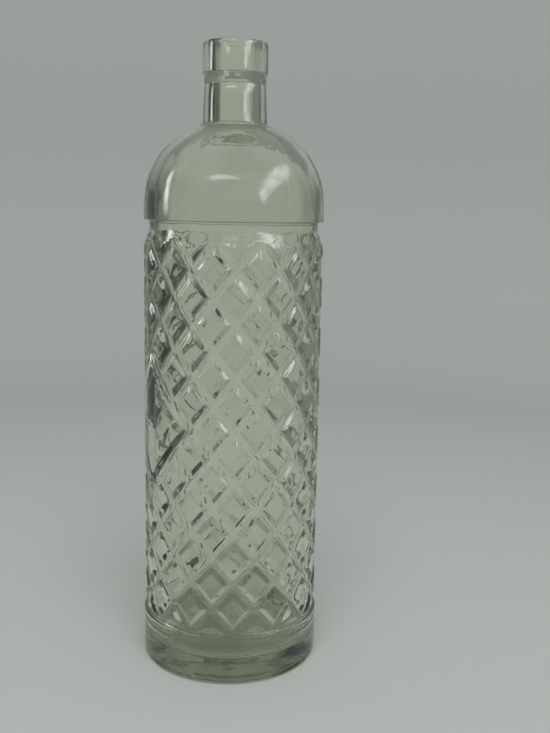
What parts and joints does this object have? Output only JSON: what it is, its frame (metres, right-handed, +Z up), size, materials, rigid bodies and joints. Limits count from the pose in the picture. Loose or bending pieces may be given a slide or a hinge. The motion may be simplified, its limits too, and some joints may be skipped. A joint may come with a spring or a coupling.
{
  "type": "liquor bottle",
  "caption": "Straight round clear-glass liquor bottle with a moulded lozenge wall, plain foot, domed shoulder and short collared neck; it is empty and open at the mouth.",
  "frame": {"origin": "middle of the foot, on the plane that the bottle stands on", "axes": "+Z up along the bottle's axis, towards the mouth; -Y is the front, where a crossing of the lozenge grooves faces"},
  "size_m": [0.0848, 0.0848, 0.29],
  "materials": {
    "bottle_glass": "clear moulded glass with a faint grey-green tint, fire-polished and slightly wavy"
  },
  "bodies": {
    "root": {"glass_bottle": "bottle_glass"}
  },
  "joints": []
}
